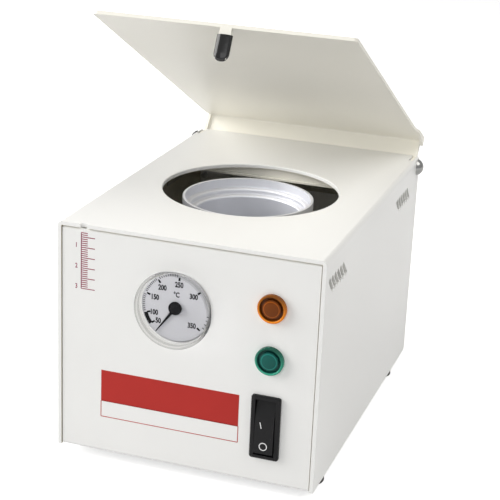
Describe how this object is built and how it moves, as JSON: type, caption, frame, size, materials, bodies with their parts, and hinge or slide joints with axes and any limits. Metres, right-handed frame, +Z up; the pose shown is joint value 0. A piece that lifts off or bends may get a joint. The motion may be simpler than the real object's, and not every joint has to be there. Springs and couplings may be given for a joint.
{
  "type": "instrument sterilizer, glass bead",
  "caption": "Compact bench sterilizer: white sheet case, heated crucible in a round top opening, tilting lid on side screws, dial thermometer, pilot lamps and rocker switch.",
  "frame": {"origin": "on the surface the feet stand on, under the middle of the whole object with its lid open", "axes": "+Z up, -Y towards the front panel with the dial, +X towards the panel's side with the lamps and the switch"},
  "size_m": [0.1339, 0.1992, 0.2083],
  "materials": {
    "white_coat": "satin powder coat",
    "cup_aluminium": "satin turned",
    "chrome_plate": "polished",
    "zinc_steel": "zinc plated",
    "sheet_steel": "plain",
    "white_moulding": "moulded",
    "fibre_wool": "pressed fibre",
    "foot_rubber": "matt",
    "cap_vinyl": "glossy",
    "dial_white": "printed",
    "pointer_black": "matt",
    "lens_clear": "clear",
    "copper_tube": "drawn copper",
    "lamp_amber": "translucent",
    "lamp_green": "translucent",
    "black_nylon": "moulded",
    "contact_brass": "plain",
    "moulded_resin": "moulded"
  },
  "bodies": {
    "base": {"cover": "white_coat", "chassis": "white_coat", "rear_brace": "white_coat", "crucible": "cup_aluminium", "pivot_screws": "chrome_plate", "foot_screws": "zinc_steel", "foot_nuts": "zinc_steel", "cover_screws": "zinc_steel", "stand_screws": "zinc_steel", "band_screw": "zinc_steel", "pivot_washers": "zinc_steel", "pivot_nuts": "zinc_steel", "inlet_screws": "zinc_steel", "gauge_movement": "zinc_steel", "bulb_gland": "zinc_steel", "crucible_stand": "sheet_steel", "heat_shield": "sheet_steel", "heater_band": "sheet_steel", "heater_collar": "sheet_steel", "gauge_case": "white_moulding", "insulation_jacket": "fibre_wool", "crucible_pad": "fibre_wool", "feet": "foot_rubber", "gauge_dial": "dial_white", "gauge_lens": "lens_clear", "gauge_capillary": "copper_tube", "gauge_bulb": "copper_tube", "amber_lamp_lens": "lamp_amber", "green_lamp_lens": "lamp_green", "amber_lamp_holder": "black_nylon", "green_lamp_holder": "black_nylon", "switch_housing": "black_nylon", "power_inlet": "black_nylon", "inlet_pins": "contact_brass", "earth_stud": "contact_brass", "earth_tag": "contact_brass", "thermostat": "moulded_resin", "terminal_block": "moulded_resin", "thermal_cutout": "moulded_resin"},
    "lid": {"lid": "white_coat", "lid_tab_cap": "cap_vinyl"},
    "pointer": {"gauge_pointer": "pointer_black"},
    "rocker": {"switch_rocker": "black_nylon"}
  },
  "joints": [
    {"name": "lid_hinge", "type": "hinge", "parent": "base", "child": "lid", "pos_m": [0, 0.08489, 0.1128], "axis": [-1, 0, 0], "range_deg": [-26.3, 64.4]},
    {"name": "rocker_tilt", "type": "hinge", "parent": "base", "child": "rocker", "pos_m": [0.0397, -0.09011, 0.0338], "axis": [1, 0, 0], "range_deg": [0, 14]},
    {"name": "pointer_turn", "type": "hinge", "parent": "base", "child": "pointer", "pos_m": [-0.005, -0.09311, 0.08485], "axis": [0, 1, 0], "range_deg": [0, 270], "stiffness_Nm_per_rad": 0.004}
  ]
}
